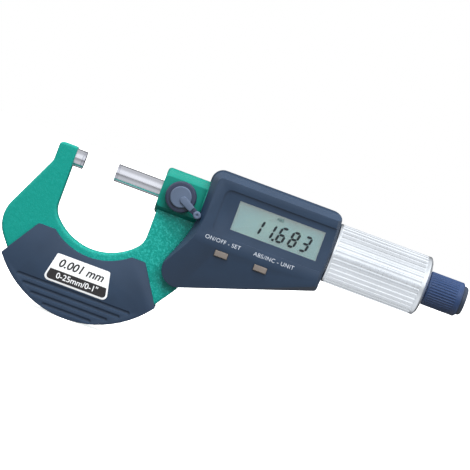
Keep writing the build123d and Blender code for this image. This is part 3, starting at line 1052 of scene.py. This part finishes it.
def stations(start: float, end: float, run_out: float, radius: float) -> tuple:
    """Profile points along a fluted stretch, closer together where the flutes run out.

    Args:
        start, end: the fluted stretch.
        run_out: the length over which a flute fades.
        radius: the radius over the lands.
    Returns:
        The points.
    """
    fine = [run_out * part for part in (0.0, 0.12, 0.3, 0.6, 1.0)]
    inner = [start + step for step in fine] + [start + (end - start) * part for part in (0.25, 0.5, 0.75)]
    return tuple((x, radius) for x in inner + [end - step for step in reversed(fine)])


@dataclass
class Thimble:
    """The thimble, the ratchet knob and its end cap."""

    start: float = 91.95
    end: float = 127.4
    radius: float = 10.7
    bore: float = 8.5
    knob: tuple[float, float] = (127.6, 140.3)
    knob_radius: float = 6.15
    cap_end: float = 142.0

    def build(self) -> None:
        """Makes the three turned pieces."""
        flutes = (92.8, 124.8)
        Fluted("thimble_sleeve", "thimble", (
            (self.start, self.bore), (self.start, self.radius - 0.2, 0.08),
            (self.start + 0.2, self.radius, 0.08),
            *stations(*flutes, 0.6, self.radius), (126.1, self.radius, 0.9), (126.95, self.radius - 1.6, 1.2),
            (self.end, self.radius - 3.9, 0.6), (self.end, 2.6), (121.6, 2.6), (121.6, self.bore)),
            self.radius, 36, flutes, 0.42, 0.72, SATIN, Body.THIMBLE, run_out=0.6).build()
        x0, x1 = self.knob
        flutes = (128.3, 138.3)
        Fluted("ratchet_sleeve", "ratchet_knob", (
            (x0, 4.7), (x0, self.knob_radius - 0.3, 0.15), (x0 + 0.3, self.knob_radius, 0.15),
            *stations(*flutes, 0.4, self.knob_radius), (x1 - 0.6, self.knob_radius, 0.25),
            (x1, self.knob_radius - 0.6, 0.2), (x1, 4.7), (132.0, 4.7), (132.0, 2.7), (130.5, 2.7),
            (130.5, 4.7)),
            self.knob_radius, 40, flutes, 0.24, 0.62, NAVY, Body.RATCHET, run_out=0.4).build()
        cap = Shape()
        cap.lathe([(137.9, 0), (137.9, 4.7), (x1, 4.7), (x1, 5.2, 0.2), (self.cap_end, 5.2, 1.1),
                   (self.cap_end, 3.2, 0.5), (self.cap_end - 0.25, 2.9, 0.2), (self.cap_end - 0.25, 0)], 96,
                 closed=False)
        cap.piece("ratchet_end", BLACK, Body.RATCHET, ("ratchet_cap",))


@dataclass
class CarriedParts:
    """The CAD parts whose shape is kept: they only get their finish."""

    def build(self) -> None:
        """Dresses each part by its material slot."""
        slots = {row["node"]: row["material_slot"] for row in frame["record"]["subparts"]}
        for name, node in frame["nodes"].items():
            finish = SLOT_FINISHES[slots[name]]
            node.data.materials.clear()
            node.data.materials.append(finish.material())


@dataclass
class Studio:
    """The pale floor, the soft lights and the camera."""

    target: tuple[float, float, float] = (0.0583, 0.0, -0.0061)
    distance: float = 0.92
    field: float = 0.165
    roll: float = 20.42
    elevation: float = 2.0
    sensor: float = 36.0
    floor_glow: float = 0.8
    lit: tuple[float, float, float] = (0.06, 0.0, -0.01)
    sky: tuple = ((-1.0, 0.05), (-0.1, 0.08), (0.1, 0.7), (0.5, 1.3), (1.0, 1.5))
    gloss_sky: tuple = ((-1.0, 0.75), (-0.75, 0.85), (-0.4, 0.6), (-0.12, 0.3), (0.0, 0.75), (0.12, 1.3),
                        (0.7, 1.3), (1.0, 0.7))
    gloss_depth: tuple = ((-1.0, 1.0), (0.35, 1.0), (0.8, 0.04), (1.0, 0.02))

    def build(self) -> None:
        """Sets the stage."""
        bpy.context.scene.view_settings.view_transform = "Standard"
        self.floor()
        self.lights()
        self.camera()

    def floor(self) -> None:
        """A wide pale floor under the bow."""
        shape = Shape()
        bmesh.ops.create_grid(shape.bm, x_segments=1, y_segments=1, size=3.0)
        bmesh.ops.translate(shape.bm, verts=shape.bm.verts, vec=(0.06, 0, CAD_BOX[0].z))
        mesh = bpy.data.meshes.new("floor")
        shape.bm.to_mesh(mesh)
        floor = bpy.data.objects.new("floor", mesh)
        bpy.context.scene.collection.objects.link(floor)
        sheet = NodeSheet("floor_pale")
        sheet.shader.inputs["Base Color"].default_value = (0.93, 0.93, 0.93, 1)
        sheet.shader.inputs["Roughness"].default_value = 0.9
        sheet.shader.inputs["Specular IOR Level"].default_value = 0.1
        sheet.shader.inputs["Emission Color"].default_value = (1, 1, 1, 1)
        sheet.shader.inputs["Emission Strength"].default_value = self.floor_glow
        mesh.materials.append(sheet.material)
        floor.visible_diffuse = False
        floor.visible_glossy = False

    def lights(self) -> None:
        """Soft daylight all round and three large lamps."""
        self.world()
        for name, place, size, power in (
                ("key", (-0.2, -0.4, 0.9), 0.4, 8.0), ("fill", (0.4, -0.75, 0.6), 0.5, 5.5),
                ("back", (0.1, 0.5, 0.8), 0.7, 3.0)):
            lamp = bpy.data.lights.new(name, "AREA")
            lamp.shape = "DISK"
            lamp.size = size
            lamp.energy = power
            holder = bpy.data.objects.new(name, lamp)
            bpy.context.scene.collection.objects.link(holder)
            holder.visible_glossy = False
            holder.location = place
            towards = Vector(self.lit) - Vector(place)
            holder.rotation_euler = towards.to_track_quat("-Z", "Y").to_euler()

    def world(self) -> None:
        """White where the camera looks past the floor, an even sky for light, and a banded one for gloss."""
        world = bpy.data.worlds.new("studio")
        bpy.context.scene.world = world
        world.use_nodes = True
        tree = world.node_tree
        split = tree.nodes.new("ShaderNodeSeparateXYZ")
        tree.links.new(tree.nodes.new("ShaderNodeTexCoord").outputs["Generated"], split.inputs["Vector"])
        paths = tree.nodes.new("ShaderNodeLightPath")
        bands = tree.nodes.new("ShaderNodeMix")
        bands.data_type = "RGBA"
        bands.blend_type = "MULTIPLY"
        bands.inputs["Factor"].default_value = 1.0
        tree.links.new(self.ramp(tree, split.outputs["Z"], self.gloss_sky), bands.inputs["A"])
        tree.links.new(self.ramp(tree, split.outputs["Y"], self.gloss_depth), bands.inputs["B"])
        sky = self.chosen(tree, paths.outputs["Is Glossy Ray"], self.ramp(tree, split.outputs["Z"], self.sky),
                          bands.outputs["Result"])
        white = tree.nodes.new("ShaderNodeRGB")
        white.outputs["Color"].default_value = (1, 1, 1, 1)
        seen = self.chosen(tree, paths.outputs["Is Camera Ray"], sky, white.outputs["Color"])
        tree.links.new(seen, tree.nodes["Background"].inputs["Color"])

    def ramp(self, tree: bpy.types.NodeTree, value: bpy.types.NodeSocket,
             levels: tuple) -> bpy.types.NodeSocket:
        """A brightness for each height or depth of a direction.

        Args:
            tree: the world's nodes.
            value: the direction's part, -1 to 1.
            levels: pairs of that part and a brightness.
        Returns:
            The brightness as a colour.
        """
        share = tree.nodes.new("ShaderNodeMapRange")
        share.inputs["From Min"].default_value = -1.0
        tree.links.new(value, share.inputs["Value"])
        ramp = tree.nodes.new("ShaderNodeValToRGB")
        tree.links.new(share.outputs["Result"], ramp.inputs["Fac"])
        while len(ramp.color_ramp.elements) < len(levels):
            ramp.color_ramp.elements.new(1.0)
        for stop, (part, level) in zip(ramp.color_ramp.elements, levels):
            stop.position = (part + 1) / 2
            stop.color = (level * 0.97, level * 0.985, level, 1)
        return ramp.outputs["Color"]

    def chosen(self, tree: bpy.types.NodeTree, when: bpy.types.NodeSocket, other: bpy.types.NodeSocket,
               colour: bpy.types.NodeSocket) -> bpy.types.NodeSocket:
        """One colour for one kind of ray, and another for the rest.

        Args:
            tree: the world's nodes.
            when: 1 for the kind of ray.
            other: the colour for all others.
            colour: the colour for that kind.
        Returns:
            The colour.
        """
        mix = tree.nodes.new("ShaderNodeMix")
        mix.data_type = "RGBA"
        tree.links.new(when, mix.inputs["Factor"])
        tree.links.new(other, mix.inputs["A"])
        tree.links.new(colour, mix.inputs["B"])
        return mix.outputs["Result"]

    def camera(self) -> None:
        """A long lens, rolled so that the measuring axis falls to the right."""
        roll, tilt = math.radians(self.roll), math.radians(self.elevation)
        down = Vector((math.sin(roll), 0, -math.cos(roll)))
        forward = Vector((0, math.cos(tilt), 0)) + down * math.sin(tilt)
        right = Vector((math.cos(roll), 0, math.sin(roll)))
        up = right.cross(forward)
        data = bpy.data.cameras.new("camera")
        data.sensor_width = self.sensor
        data.lens = self.sensor * self.distance / self.field
        data.clip_start, data.clip_end = 0.05, 20
        camera = bpy.data.objects.new("camera", data)
        bpy.context.scene.collection.objects.link(camera)
        place = Vector(self.target) - forward * self.distance
        camera.matrix_world = Matrix((
            (right.x, up.x, -forward.x, place.x), (right.y, up.y, -forward.y, place.y),
            (right.z, up.z, -forward.z, place.z), (0, 0, 0, 1)))
        bpy.context.scene.camera = camera


def main() -> None:
    """Builds the micrometer, then its studio."""
    logging.basicConfig(level=logging.INFO, format="%(message)s")
    CarriedParts().build()
    for part in (Bow(), MeasuringLine(), InsulatingPlate(-1), InsulatingPlate(1), RangeLabel(), SpindleLock(),
                 Housing(), Display(), PushButton("button_on_off", Body.ON_OFF),
                 PushButton("button_unit", Body.UNIT), Thimble(), Studio()):
        LOG.info("building %s", type(part).__name__)
        part.build()


if __name__ == "__main__":
    main()
